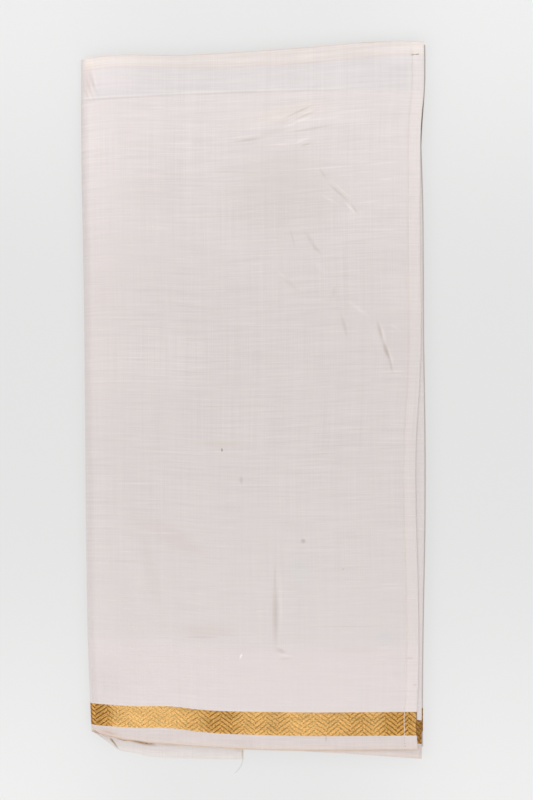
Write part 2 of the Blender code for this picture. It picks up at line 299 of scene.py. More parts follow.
def fold_over(places, section, turns, width):
    """Add the fold at the head: the last row turned about an axis one radius inside it,
    then led straight back for the fold's width."""
    x, y, z = places
    out_x, out_z, depth = section[:, 5:].T[:, :, None]
    turn = np.concatenate([turns, np.full(len(width), turns[-1])])
    back = np.concatenate([np.zeros(len(turns)), width])
    last_x, last_y, last_z = x[:, -1:], y[:, -1:], z[:, -1:]
    lip = (last_x + out_x * depth * (np.cos(turn) - 1), last_y + depth * np.sin(turn) - back,
           last_z + out_z * depth * (np.cos(turn) - 1))
    return tuple(np.hstack([sheet, more]) for sheet, more in zip(places, lip))


def add_cloth(name, places, across, along, material, notes=None, thickness=CLOTH):
    """A thin cloth over a grid of points, its faces outwards, with its own flat map in
    metres, where across and along count the cloth's own threads."""
    x, y, z = places
    columns, rows = x.shape
    index = np.arange(columns * rows).reshape(columns, rows)
    quads = np.stack([index[:-1, :-1], index[:-1, 1:], index[1:, 1:], index[1:, :-1]], axis=-1)
    mesh = bpy.data.meshes.new(name)
    mesh.from_pydata(np.stack([x, y, z], axis=-1).reshape(-1, 3).tolist(), [],
                     quads.reshape(-1, 4).tolist())
    flat = np.stack(np.broadcast_arrays(across[:, None], along[None, :]), axis=-1).reshape(-1, 2)
    corners = np.empty(len(mesh.loops), np.int32)
    mesh.loops.foreach_get("vertex_index", corners)
    mesh.uv_layers.new(name="weave").data.foreach_set("uv", flat[corners].ravel().astype(np.float32))
    for note, values in (notes or {}).items():
        kept = mesh.attributes.new(note, "FLOAT", "POINT")
        kept.data.foreach_set("value", np.broadcast_to(values, x.shape).ravel().astype(np.float32))
    mesh.materials.append(material)
    mesh.shade_smooth()
    piece = bpy.data.objects.new(name, mesh)
    bpy.context.scene.collection.objects.link(piece)
    shell = piece.modifiers.new("one ply", "SOLIDIFY")
    shell.thickness, shell.offset = thickness, -1
    evaluated = bpy.context.evaluated_depsgraph_get()
    piece.data = bpy.data.meshes.new_from_object(piece.evaluated_get(evaluated), depsgraph=evaluated)
    piece.modifiers.clear()
    piece.data.set_sharp_from_angle(angle=np.radians(60))
    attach(piece, "root")
    return piece


def step(tree, kind, inputs=(), output=0, **settings):
    """Add one shader node, set its properties, feed its inputs, and return an output."""
    made = tree.nodes.new("ShaderNode" + kind)
    for name, value in settings.items():
        setattr(made, name, value)
    for key, value in dict(inputs).items():
        if isinstance(value, bpy.types.NodeSocket):
            tree.links.new(value, made.inputs[key])
        else:
            made.inputs[key].default_value = value
    return made.outputs[output]


def sums(tree, operation, first, second=0.0, third=0.0):
    """One step of arithmetic on numbers that change over the cloth."""
    return step(tree, "Math", {0: first, 1: second, 2: third}, operation=operation)


def ramp(tree, value, low, high, start=0.0, end=1.0):
    """A soft step between two values."""
    return step(tree, "MapRange", {0: value, 1: low, 2: high, 3: start, 4: end},
                interpolation_type="SMOOTHSTEP")


def tint(tree, base, share, colour):
    """Multiply a colour by another where the share says."""
    return step(tree, "Mix", {0: share, 6: base, 7: (*colour, 1)}, output=2,
                data_type="RGBA", blend_type="MULTIPLY")


def start_group(name, inputs, outputs):
    """A new node group with named inputs (name, kind, value) and outputs (name, kind)."""
    tree = bpy.data.node_groups.new(name, "ShaderNodeTree")
    for label, kind, value in inputs:
        socket = tree.interface.new_socket(label, in_out="INPUT", socket_type="NodeSocket" + kind)
        if value is not None:
            socket.default_value = value
    for label, kind in outputs:
        tree.interface.new_socket(label, in_out="OUTPUT", socket_type="NodeSocket" + kind)
    return tree, tree.nodes.new("NodeGroupInput").outputs, tree.nodes.new("NodeGroupOutput").inputs


def streaks(tree, place, per_metre, detail=2.0, seed=0.0):
    """Noise drawn out along the threads, about zero: so many grains a metre each way."""
    moved = step(tree, "VectorMath", {0: place, 1: (*per_metre, 1), 2: (seed, 2 * seed, 0)},
                 operation="MULTIPLY_ADD")
    noise = step(tree, "TexNoise", {"Vector": moved, "Scale": 1.0, "Detail": detail},
                 noise_dimensions="2D")
    return sums(tree, "SUBTRACT", noise, 0.5)


WARP_PITCH, WEFT_PITCH = 0.42 * MM, 0.46 * MM


def weave_group():
    """Raw silk's own cloth: uneven weft in streaks at three widths, fainter warp, rare
    slubs, and the over-and-under of the threads. Puts out a tone about zero and a height."""
    tree, given, result = start_group("Raw silk weave", [("Place", "Vector", None)],
                                      [("Tone", "Float"), ("Height", "Float"), ("Slub", "Float")])
    place = given["Place"]
    fine = streaks(tree, place, (26, 1250), seed=3.1)
    medium = streaks(tree, place, (22, 430), seed=7.7)
    broad = streaks(tree, place, (5, 95), 3.0, seed=1.3)
    warp = streaks(tree, place, (1150, 16), seed=5.9)
    warp_band = streaks(tree, place, (170, 4), seed=9.2)
    tone = sums(tree, "MULTIPLY", fine, 1.0)
    for part, weight in ((medium, 1.15), (broad, 0.35), (warp, 0.85), (warp_band, 0.5)):
        tone = sums(tree, "MULTIPLY_ADD", part, weight, tone)
    grains = streaks(tree, place, (34, 620), 1.0, seed=4.4)
    slub = ramp(tree, grains, 0.17, 0.26)
    apart = step(tree, "SeparateXYZ", {0: place})
    down = step(tree, "SeparateXYZ", {0: place}, output=1)
    warp_thread = sums(tree, "SINE", sums(tree, "MULTIPLY", apart, 2 * np.pi / WARP_PITCH))
    weft_thread = sums(tree, "SINE", sums(tree, "MULTIPLY", down, 2 * np.pi / WEFT_PITCH))
    over = sums(tree, "MULTIPLY", warp_thread, weft_thread)
    height = sums(tree, "MULTIPLY_ADD", over, 0.25, sums(tree, "MULTIPLY", tone, 1.6))
    height = sums(tree, "MULTIPLY_ADD", slub, 1.2, height)
    tree.links.new(tone, result["Tone"])
    tree.links.new(height, result["Height"])
    tree.links.new(slub, result["Slub"])
    return tree


def patch_group():
    """A soft-edged patch: an ellipse about a place, turned, full inside and fading out."""
    tree, given, result = start_group(
        "Soft patch", [("Place", "Vector", None), ("Centre", "Vector", (0, 0, 0)),
                       ("Turn", "Vector", (0, 0, 0)), ("Size", "Vector", (1, 1, 1)),
                       ("Rim", "Float", 0.7)], [("Mask", "Float")])
    unit = step(tree, "Mapping", {"Vector": given["Place"], "Location": given["Centre"],
                                  "Rotation": given["Turn"], "Scale": given["Size"]},
                vector_type="TEXTURE")
    inward = step(tree, "TexGradient", {"Vector": unit}, output=1, gradient_type="SPHERICAL")
    tree.links.new(ramp(tree, inward, 0.0, given["Rim"]), result["Mask"])
    return tree


def use_group(tree, group, inputs, output=0):
    """Place a node group in a tree and feed it."""
    made = tree.nodes.new("ShaderNodeGroup")
    made.node_tree = group
    for key, value in inputs.items():
        if isinstance(value, bpy.types.NodeSocket):
            tree.links.new(value, made.inputs[key])
        else:
            made.inputs[key].default_value = value
    return made.outputs if output is None else made.outputs[output]


raw_silk_weave = weave_group()
soft_patch = patch_group()


def add_patches(tree, colour, place, rows):
    """Lay patches over a colour: columns x, y, half length, half width (mm), turn (degrees),
    how much of it is full, and the colour that multiplies the cloth's."""
    for x, y, half_length, half_width, turn, core, shade in rows:
        mask = use_group(tree, soft_patch, {
            "Place": place, "Centre": (x * MM, y * MM, 0), "Turn": (0, 0, np.radians(turn)),
            "Size": (half_length * MM, half_width * MM, 1), "Rim": 1 - core})
        colour = tint(tree, colour, mask, shade)
    return colour


def note(tree, name):
    """A number kept on the cloth's mesh."""
    return step(tree, "Attribute", attribute_name=name, output=2)


def start_material(name, roughness, sheen, metallic=0.0):
    """A material with its own Principled shader, and where on the cloth a point is."""
    material = bpy.data.materials.new(name)
    material.use_nodes = True
    tree = material.node_tree
    shader = tree.nodes["Principled BSDF"]
    shader.inputs["Roughness"].default_value = roughness
    shader.inputs["Sheen Weight"].default_value = sheen
    shader.inputs["Sheen Roughness"].default_value = 0.4
    shader.inputs["Metallic"].default_value = metallic
    return material, tree, shader, step(tree, "UVMap", uv_map="weave")


def bumped(tree, shader, height, distance, strength=1.0):
    """Feed a height to the shader's normal."""
    bump = step(tree, "Bump", {"Height": height, "Distance": distance, "Strength": strength})
    tree.links.new(bump, shader.inputs["Normal"])


def add_creases(tree, colour, place, rows):
    """Paint the creases' light and shade as soft-edged lines from end to end: painted shade in a
    trough and a painted highlight on a ridge, the more so the deeper and narrower they are."""
    for start_x, start_y, end_x, end_y, half_width, rise in rows:
        run_x, run_y = end_x - start_x, end_y - start_y
        amount = rise * min(1.0, 2.2 / half_width)
        shade = (1 + 0.16 * amount,) * 3
        if rise < 0:
            shade = (1 + 0.21 * amount, 1 + 0.25 * amount, 1 + 0.30 * amount)
        colour = add_patches(tree, colour, place, [(
            (start_x + end_x) / 2, (start_y + end_y) / 2, np.hypot(run_x, run_y) / 1.75,
            SHADE_SPREAD * half_width, np.degrees(np.arctan2(run_y, run_x)), 0.1, shade)])
    return colour


def woven(tree, cloth, base, contrast):
    """The silk's own colour, lighter and darker by its weave's tone, and the weave."""
    weave = use_group(tree, raw_silk_weave, {"Place": cloth}, None)
    tone = sums(tree, "MULTIPLY_ADD", weave["Tone"], contrast, 1.0)
    return step(tree, "VectorMath", {0: base, 3: tone}, operation="SCALE"), weave


def line_at(tree, distance, middle, half_width):
    """A soft line where a distance has a given value."""
    away = sums(tree, "ABSOLUTE", sums(tree, "SUBTRACT", distance, middle))
    return ramp(tree, away, half_width, 0.2 * half_width)


SILK_COLOUR = (0.729, 0.665, 0.645)

# Marks and faint patches of the field, and the shade of what lies under the sheer silk.
MARKS = ((-28.5, -45.0, 1.2, 2.2, 8, 0.3, (0.50, 0.48, 0.46)),
         (-11.0, -72.5, 2.6, 5.0, 6, 0.2, (0.86, 0.86, 0.87)),
         (45.5, -128.0, 3.0, 2.8, 0, 0.3, (0.80, 0.78, 0.77)),
         (82.0, -153.5, 1.3, 1.6, 0, 0.3, (0.88, 0.87, 0.87)),
         (-11.2, -232.8, 3.4, 1.3, 65, 0.4, (1.22, 1.24, 1.24)),
         (-30.0, -39.0, 28.0, 3.4, 0, 0.2, (0.975, 0.955, 0.915)),
         (-74.0, -124.0, 46.0, 13.0, -28, 0.1, (0.975, 0.955, 0.95)),
         (-42.0, -209.5, 36.0, 8.5, 0, 0.2, (0.972, 0.955, 0.942)),
         (-48.0, -215.6, 19.0, 1.2, 0, 0.4, (0.935, 0.92, 0.905)),
         (42.0, -154.0, 15.0, 20.0, 10, 0.1, (0.985, 1.005, 1.02)),
         (120.0, -216.0, 15.0, 11.0, 0, 0.2, (0.97, 0.99, 1.01)),
         (92.0, -228.0, 42.0, 3.2, 0, 0.2, (0.985, 0.965, 0.955)),
         (142.5, -234.6, 5.0, 1.8, 0, 0.3, (0.96, 0.89, 0.88)),
         (147.4, -259.0, 2.6, 0.9, 0, 0.3, (0.94, 0.82, 0.83)),
         (-128.0, 300.0, 34.0, 26.0, 0, 0.3, (1.045, 1.045, 1.045)),   # brighter head corners
         (140.0, 318.0, 26.0, 16.0, 0, 0.3, (1.05, 1.05, 1.055)),
         (-140.0, -262.0, 38.0, 42.0, 0, 0.1, (0.94, 0.94, 0.945)),
         (28.0, 190.0, 90.0, 68.0, 0, 0.1, (0.935, 0.928, 0.915)),     # darker over the upper middle: painted shade of what lies under the sheer silk
         (-88.0, 196.0, 46.0, 42.0, 0, 0.1, (0.965, 0.96, 0.957)),
         (30.0, 262.0, 62.0, 14.0, 12, 0.2, (1.012, 1.0, 0.975)),
         (-90.0, 36.0, 62.0, 42.0, 0, 0.0, (1.035, 1.035, 1.035)),
         (134.0, 96.0, 26.0, 34.0, 0, 0.2, (1.03, 1.03, 1.03)),
         (-151.0, 292.0, 20.0, 9.0, 82, 0.2, (0.93, 0.905, 0.90)))


def silk_material():
    """Cream raw silk, sheer enough to show the steps of what lies under it."""
    material, tree, shader, cloth = start_material("cream raw silk", 0.58, 0.12)
    place = step(tree, "TexCoord", output=3)
    up = step(tree, "SeparateXYZ", {0: place}, output=1)
    patchy = streaks(tree, cloth, (10, 12), 1.0, seed=4.9)
    strength = sums(tree, "MULTIPLY_ADD", patchy, 0.12, ramp(tree, up, -0.22, -0.07, 0.042, 0.1))
    colour, weave = woven(tree, cloth, SILK_COLOUR, sums(tree, "MAXIMUM", strength, 0.03))
    upper = ramp(tree, up, 0.08, 0.22)
    step_shows = ramp(tree, step(tree, "SeparateXYZ", {0: place}), 0.092, 0.062)
    from_left = note(tree, "from_left")
    left_third = sums(tree, "MULTIPLY", ramp(tree, from_left, 0.1, 0.02), ramp(tree, up, -0.07, 0.03))
    past_core, past_fold = note(tree, "past_core"), note(tree, "past_fold")
    from_hem = note(tree, "from_hem")
    # Painted shade on the cloth where it rounds down at the left side, except near the head.
    left_round_painted_shade = sums(tree, "MULTIPLY", ramp(tree, from_left, 0.0095, 0.0005),
                       ramp(tree, up, 0.34, 0.2))
    past_step = sums(tree, "MULTIPLY", ramp(tree, past_core, -0.9 * MM, 0.5 * MM),
                     ramp(tree, from_left, 9.5 * MM, 11.5 * MM))
    plain = colour

    def step_line(middle):
        """A soft line along the step to the hidden plies, for the step's painted highlight and painted
        shade, fading out towards the hem.
        """
        return sums(tree, "MULTIPLY", line_at(tree, past_core, middle, 1.4 * MM), step_shows)

    for share, shade in (
            (upper, (1.049, 1.052, 1.059)),
            (left_third, (1.04, 1.035, 1.035)),
            (past_step, (0.958, 0.97, 0.986)),
            # painted highlight just past the step to the hidden plies, then painted shade along the
            # step itself
            (step_line(2.0 * MM), (1.05, 1.055, 1.055)),
            (step_line(0.1 * MM), (0.94, 0.925, 0.905)),
            (ramp(tree, past_fold, -0.5 * MM, 0.3 * MM), (1.058, 1.034, 0.998)),
            (line_at(tree, past_fold, 3.2 * MM, 0.9 * MM), (0.982, 0.968, 0.95)),
            (line_at(tree, past_fold, 9.8 * MM, 0.9 * MM), (0.985, 0.972, 0.955)),
            (line_at(tree, past_fold, 0.6 * MM, 1.4 * MM), (0.945, 0.93, 0.915)),
            (line_at(tree, past_fold, 6.4 * MM, 1.6 * MM), (1.025, 1.03, 1.03)),
            (ramp(tree, from_hem, 12.0 * MM, 11.2 * MM), (1.045, 1.04, 1.03)),
            (line_at(tree, from_hem, 11.3 * MM, 0.9 * MM), (0.98, 0.967, 0.94)),
            (ramp(tree, from_left, 40 * MM, 6 * MM), (1.03, 1.03, 1.03)),
            (left_round_painted_shade, (0.89, 0.88, 0.88)),
            (ramp(tree, note(tree, "past_border"), 68 * MM, 52 * MM), (1.035, 1.025, 1.035))):
        colour = tint(tree, colour, share, shade)
    colour = add_patches(tree, colour, place, MARKS)
    colour = add_creases(tree, colour, place, CREASES + FINE_LINES)
    colour = step(tree, "Mix", {0: note(tree, "face"), 6: plain, 7: colour}, output=2,
                  data_type="RGBA")
    at_edge = ramp(tree, note(tree, "from_head"), 1.3 * MM, 0.4 * MM)
    colour = tint(tree, colour, at_edge, (0.93, 0.87, 0.80))
    colour = tint(tree, colour, weave["Slub"], (1.035, 1.035, 1.03))
    # Painted shade on the lowest panel's right fold, standing in for the shade along the packet's
    # right edge.
    colour = tint(tree, colour, note(tree, "painted_shade"), (0.28, 0.24, 0.20))
    tree.links.new(colour, shader.inputs["Base Color"])
    rough = sums(tree, "MULTIPLY_ADD", weave["Tone"], -0.3, 0.58)
    tree.links.new(rough, shader.inputs["Roughness"])
    bumped(tree, shader, weave["Height"], 0.05 * MM)
    return material


cream_silk = silk_material()


def by_side(above, below):
    """A level edge that is one line on the packet's face and another on the table."""
    def line(x, height):
        share = smooth(0.35, 0.65, height)
        return above(x) * share + below(x) * (1 - share)
    return line


def flap_border_foot(x):
    """Lower edge of the gold border on the ply that comes round onto the table."""
    return flap_foot(x) + flap_selvedge_width(x)


def flap_border_top(x):
    """Upper edge of the same border."""
    return flap_border_foot(x) + border_width(x)


def ends_at(line, less=0.0):
    """A level edge for both sides of the packet, drawn back a little."""
    return lambda x, height: line(x) - less


# Where the columns stand on the packet's face, and how far apart (mm).
FACE_COLUMNS = spaced(-143.3, 150.8, 3.4, ((10, 30, 1.2), (66, 104, 2.2), (104, 134, 0.95),
                                           (136.5, 142.5, 0.8), (142.5, 151, 2.0)))
FACE_LEFT, FACE_RIGHT = -143.7, 151.3


def face_run(columns):
    """Columns across the packet's face, from the hem's fold to the left side's rounding."""
    share = (FACE_RIGHT - columns[::-1]) / (FACE_RIGHT - FACE_LEFT)
    return run((0, 1, -HEM_TURN), (1, 0, SIDE_FOLD_DEPTH), share, 1.0)


outer_section = np.vstack([
    hem_round(HEAD_TURN), face_run(FACE_COLUMNS),
    side_round(SIDE_FOLD_DEPTH, PACKET_TOP / 2, HEAD_TURN),
    run((1, 0, SIDE_FOLD_DEPTH), (0, 0, FREE_END_X), np.linspace(0, 1, 28), 0.0,
        outward=(0.0, -1.0))])


def thread_count(section, left, right, half_height):
    """How far along the cloth each column is, in metres, so that the face reads as x."""
    to_left, to_right, shift, height, drop = section[:, :5].T
    x = to_left * left + to_right * right + shift
    z = 2 * half_height * height - drop
    gone = np.concatenate([[0], np.cumsum(np.hypot(np.diff(x), np.diff(z)))])
    first = np.argmax((drop == 0) & (height == 1))
    return x[first] + gone[first] - gone


outer_across = thread_count(outer_section, -153 * MM, FACE_RIGHT * MM, PACKET_TOP / 2)
on_face = smooth(0.7, 0.98, outer_section[:, 3:4]) * (outer_section[:, 4:5] < HEM_TURN)

FIELD_START, FIELD_END = -281.0, 319.0
FIELD_ROWS = spaced(FIELD_START, FIELD_END, 4.2, (
    (-243, -222, 1.7), (5, 84, 1.6), (84, 112, 2.1), (112, 275, 2.5), (268, 300, 1.5),
    (300, 319, 2.2)))
field_shares = (FIELD_ROWS - FIELD_START) / (FIELD_END - FIELD_START)
head_turns = np.linspace(0, np.pi, 7)[1:]
head_back = np.array([4.0, 8.0, 12.5]) * MM
field_along = np.concatenate([FIELD_ROWS * MM, FIELD_END * MM + HEAD_TURN * head_turns,
                              FIELD_END * MM + HEAD_TURN * np.pi + head_back])
outer_field = fold_over(
    lay(outer_section, field_shares, by_side(border_top, flap_border_top),
        ends_at(head, HEAD_TURN), left_side, hemmed_end, top_height, 0.0),
    outer_section, head_turns, head_back)


def field_notes(places, shown):
    """Distances of each point from the cloth's own lines."""
    x, y, _ = places
    return {"face": shown, "past_core": y - core_head(x), "past_fold": y - head_fold_line(x),
            "from_head": head(x) - y + 1 - shown, "from_hem": hemmed_end(y) - x,
            "from_left": x - left_side(y), "past_border": y - border_top(x)}


outer_silk = add_cloth("outer_ply_silk", outer_field, outer_across, field_along, cream_silk,
                       field_notes(outer_field, on_face))
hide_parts("top_panel", "end_hem", "head_fold", "side_fold", "under_end_panel")

# ---- The outermost ply: its gold border --------------------------------------------------
# Zari, a gilt metal thread, woven in with the silk: flat stripes of it slant one way and
# then the other in stacked chevrons, each step of the zigzag shifted by half a stripe.

STRIPE_PITCH = 4.4 * MM       # from one chevron to the next, along the cloth
ARM_LENGTH = 10.6 * MM        # half of the zigzag, across the cloth
ARM_RISE = 8.0 * MM
GOLD_LIGHT = (0.865, 0.517, 0.182)
GOLD_DARK = (0.25, 0.10, 0.01)


def chevron_group():
    """Stacked chevrons: the along-cloth place plus a triangle wave of the across-cloth
    place, cut into stripes. Puts out how much of a stripe's flat top a point is on."""
    tree, given, result = start_group(
        "Stacked chevrons", [("Place", "Vector", None)], [("Stripe", "Float"), ("Inside", "Float")])
    across = step(tree, "SeparateXYZ", {0: given["Place"]})
    along = step(tree, "SeparateXYZ", {0: given["Place"]}, output=1)
    wobble = streaks(tree, given["Place"], (70, 70), 1.0, seed=2.2)
    across = sums(tree, "SUBTRACT", across, ramp(tree, across, 0.0, 0.11, -2.2 * MM, 3.3 * MM))
    arm = sums(tree, "ADD", sums(tree, "DIVIDE", across, ARM_LENGTH), 100.78)
    rise = sums(tree, "PINGPONG", arm, 1.0)
    parity = sums(tree, "MODULO", sums(tree, "FLOOR", arm), 2.0)
    turn = sums(tree, "DIVIDE", along, STRIPE_PITCH)
    turn = sums(tree, "MULTIPLY_ADD", rise, ARM_RISE / STRIPE_PITCH, turn)
    turn = sums(tree, "MULTIPLY_ADD", parity, 0.5, turn)
    turn = sums(tree, "MULTIPLY_ADD", wobble, 0.35, turn)
    inside = sums(tree, "FRACT", turn)
    near = sums(tree, "ABSOLUTE", sums(tree, "SUBTRACT", inside, 0.5))
    tree.links.new(ramp(tree, near, 0.42, 0.30), result["Stripe"])
    tree.links.new(inside, result["Inside"])
    return tree


stacked_chevrons = chevron_group()

# Zones of the border's painted sheen: columns middle x, half width (mm), how much darker.
SHEEN_ZONES = ((-146, 16, 0.8), (-97, 42, -0.42), (-32, 22, 0.5), (47, 26, -0.2),
               (97, 16, 0.2), (134, 21, 0.7), (157, 8, 0.9))


def zari_material():
    """Gilt thread with painted sheen: painted bright where its sheen would face the light, darker with
    crisp stripes elsewhere.
    """
    material, tree, shader, cloth = start_material("gilt thread border", 0.42, 0.0, 0.55)
    stripes = use_group(tree, stacked_chevrons, {"Place": cloth}, None)
    across = step(tree, "SeparateXYZ", {0: cloth})
    painted_sheen_dark = 0.4
    for middle, half_width, amount in SHEEN_ZONES:
        away = sums(tree, "ABSOLUTE", sums(tree, "SUBTRACT", across, middle * MM))
        painted_sheen_dark = sums(tree, "ADD", painted_sheen_dark, ramp(tree, away, half_width * MM, half_width * 0.35 * MM,
                                            0, amount))
    painted_sheen_dark = step(tree, "Clamp", {0: painted_sheen_dark})
    specks = streaks(tree, cloth, (640, 1150), 2.0, seed=8.1)
    clouds = streaks(tree, cloth, (45, 130), 3.0, seed=6.5)
    threads = streaks(tree, cloth, (60, 2100), 1.0, seed=0.7)
    stripe = sums(tree, "MULTIPLY_ADD", specks, 1.1, stripes["Stripe"])
    depth = sums(tree, "MULTIPLY_ADD", painted_sheen_dark, 0.62, 0.32)
    between = sums(tree, "SUBTRACT", 1.0, stripe)
    fill = sums(tree, "SUBTRACT", 1.0, sums(tree, "MULTIPLY", depth, between))
    colour = step(tree, "Mix", {0: fill, 6: (*GOLD_DARK, 1), 7: (*GOLD_LIGHT, 1)}, output=2,
                  data_type="RGBA")
    colour = tint(tree, colour, painted_sheen_dark, (0.756, 0.683, 0.486))
    # Painted shade where the border rounds the left side, and on the second ply's gold strip past the
    # hem.
    colour = tint(tree, colour, ramp(tree, across, -139 * MM, -147 * MM), (0.78, 0.73, 0.62))
    colour = tint(tree, colour, ramp(tree, across, 150.3 * MM, 152 * MM), (0.60, 0.54, 0.41))
    at_end = ramp(tree, note(tree, "from_hem"), 1.1 * MM, 0.3 * MM)
    colour = tint(tree, colour, at_end, (0.55, 0.45, 0.3))
    # Painted glints: specks, clouds and threads brighten the metal thread's colour in spots.
    glint = sums(tree, "MULTIPLY_ADD", specks, 1.55, sums(tree, "MULTIPLY_ADD", clouds, 0.5, 1.0))
    glint = sums(tree, "MULTIPLY_ADD", threads, 0.35, glint)
    colour = step(tree, "VectorMath", {0: colour, 3: glint}, operation="SCALE")
    tree.links.new(colour, shader.inputs["Base Color"])
    rough = sums(tree, "MULTIPLY_ADD", stripe, -0.12, 0.52)
    tree.links.new(rough, shader.inputs["Roughness"])
    height = sums(tree, "MULTIPLY_ADD", threads, 0.8, stripes["Stripe"])
    height = sums(tree, "MULTIPLY_ADD", specks, 0.7, height)
    bumped(tree, shader, height, 0.12 * MM)
    return material


gilt_border = zari_material()


def lay_band(section, rows, lower, upper, left, right, top, floor, lift=0.0):
    """A woven band of the cloth between two level edges, crowned a little by its threads."""
    shares = np.linspace(0, 1, rows)
    x, y, z = lay(section, shares, lower, upper, left, right, top, floor)
    crown = lift * (1 - (2 * shares - 1) ** 8)
    return x + section[:, 5:6] * crown, y, z + section[:, 6:7] * crown


outer_band = lay_band(outer_section, 15, by_side(border_foot, flap_border_foot),
                      by_side(border_top, flap_border_top), left_side, hemmed_end,
                      top_height, 0.0, 0.08 * MM)
outer_zari = add_cloth("outer_ply_gold_border", outer_band, outer_across,
                       np.linspace(-302.5, -281, 15) * MM, gilt_border,
                       {"from_hem": hemmed_end(outer_band[1]) - outer_band[0]})
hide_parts("top_border", "end_hem_border", "side_fold_border", "under_end_border")

# ---- The outermost ply: the selvedge strip -----------------------------------------------
# The plain strip outside the border, down to the loom edge. It's closer woven, a little greyer than
# the field, and its last threads are tan; along the top ply's free edge painted shade darkens that tan
# line further.

SELVEDGE_WIDTH = 13.7 * MM
SELVEDGE_COLOUR = (0.70, 0.617, 0.592)

# Its marks and painted shade at the flap and at the left corner, with the columns of the field's.
STRIP_MARKS = ((-132.0, -303.5, 16.0, 8.0, -20, 0.2, (0.96, 0.905, 0.87)),
               (-101.6, -312.3, 17.0, 2.5, -12, 0.2, (0.55, 0.42, 0.31)),   # shade of the gap
               (-9.9, -322.8, 5.6, 1.1, 90, 0.4, (0.80, 0.72, 0.64)),       # the cut end
               (-141.4, -306.6, 3.4, 1.8, -30, 0.3, (0.86, 0.80, 0.76)),
               (-80.0, -314.3, 22.0, 1.0, -6, 0.3, (0.93, 0.86, 0.80)),
               (-127.0, -313.0, 7.6, 1.2, -54, 0.3, (0.62, 0.50, 0.40)),    # the flap's fold
               (-129.4, -310.4, 3.2, 1.5, -54, 0.3, (0.75, 0.66, 0.58)),
               (-143.2, -301.8, 5.0, 1.1, -26, 0.3, (0.70, 0.58, 0.50)),
               (-144.2, -303.3, 1.4, 1.1, 0, 0.3, (0.60, 0.52, 0.46)),
               (-131.0, -302.6, 9.0, 1.0, -18, 0.3, (0.92, 0.86, 0.82)),
               (66.4, -308.3, 3.4, 0.8, 90, 0.4, (0.82, 0.79, 0.77)),       # one pulled thread
               (-12.5, -319.0, 7.0, 3.0, 0, 0.2, (0.95, 0.90, 0.86)),
               (154.0, -316.0, 12.0, 2.8, 78, 0.2, (0.84, 0.81, 0.79)))


def selvedge_material():
    """Closer plain silk with a tan edge, pinker under the border's metal thread. Painted shade darkens
    the tan edge on the packet, and painted light brightens the flap.
    """
    material, tree, shader, cloth = start_material("silk selvedge", 0.62, 0.1)
    place = step(tree, "TexCoord", output=3)
    colour, weave = woven(tree, cloth, SELVEDGE_COLOUR, 0.11)
    flap, from_edge = note(tree, "flap"), note(tree, "from_edge")
    on_packet = sums(tree, "SUBTRACT", 1.0, flap)
    warm = sums(tree, "MULTIPLY", ramp(tree, from_edge, 7.5 * MM, 0.5 * MM), on_packet)
    colour = tint(tree, colour, warm, (1.02, 0.99, 0.945))
    # The tan of the last threads, faint on the flap, and on the packet darkened further by painted
    # shade along the top ply's free edge.
    tan_edge_and_shade = sums(tree, "MULTIPLY_ADD", on_packet, 0.8, 0.2)
    tan_edge_and_shade = sums(tree, "MULTIPLY", ramp(tree, from_edge, 1.6 * MM, 0.7 * MM), tan_edge_and_shade)
    colour = tint(tree, colour, tan_edge_and_shade, (0.885, 0.805, 0.705))
    in_hem = ramp(tree, note(tree, "from_hem"), 12.0 * MM, 11.2 * MM)
    colour = tint(tree, colour, in_hem, (1.05, 1.035, 1.045))
    # Painted light: the flap on the table is brightened against the shade of the packet's step above
    # it.
    colour = tint(tree, colour, flap, (1.153, 1.218, 1.225))
    marked = add_patches(tree, colour, place, STRIP_MARKS)
    colour = step(tree, "Mix", {0: note(tree, "outermost"), 6: colour, 7: marked}, output=2,
                  data_type="RGBA")
    # Painted shade on the lowest panel's right fold, standing in for the shade along the packet's
    # right edge.
    colour = tint(tree, colour, note(tree, "painted_shade"), (0.28, 0.24, 0.20))
    tree.links.new(colour, shader.inputs["Base Color"])
    bumped(tree, shader, weave["Height"], 0.05 * MM)
    return material


plain_selvedge = selvedge_material()


def edge_height(x, y):
    """Top face at the foot, whose free edge waves a little."""
    free = smooth(9 * MM, 0, y - foot(x))
    wave = np.sin(x / (17 * MM)) + 0.6 * np.sin(x / (7.3 * MM) + 1.0)
    return top_height(x, y) + free * (0.16 * wave - 0.25) * MM


outer_strip = lay_band(outer_section, 10, by_side(foot, flap_foot),
                       by_side(border_foot, flap_border_foot), left_side, hemmed_end,
                       edge_height, 0.0)
strip_edge = by_side(foot, flap_foot)
strip_side = outer_section[:, 3:4]
outer_selvedge = add_cloth(
    "outer_ply_selvedge", outer_strip, outer_across, np.linspace(-317, -303, 10) * MM,
    plain_selvedge,
    {"from_edge": outer_strip[1] - strip_edge(outer_strip[0], strip_side),
     "flap": 1 - smooth(0.05, 0.5, strip_side), "outermost": 1.0,
     "from_hem": hemmed_end(outer_strip[1]) - outer_strip[0]})
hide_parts("top_selvedge", "end_hem_selvedge", "side_fold_selvedge",
            "under_end_selvedge")

# ---- The second half of the outermost panel ----------------------------------------------
# The cloth's other half, turned over at the head fold, so its own border and selvedge lie
# at the foot too. It peeps out at the right, beyond the top ply's hem, and at the foot.

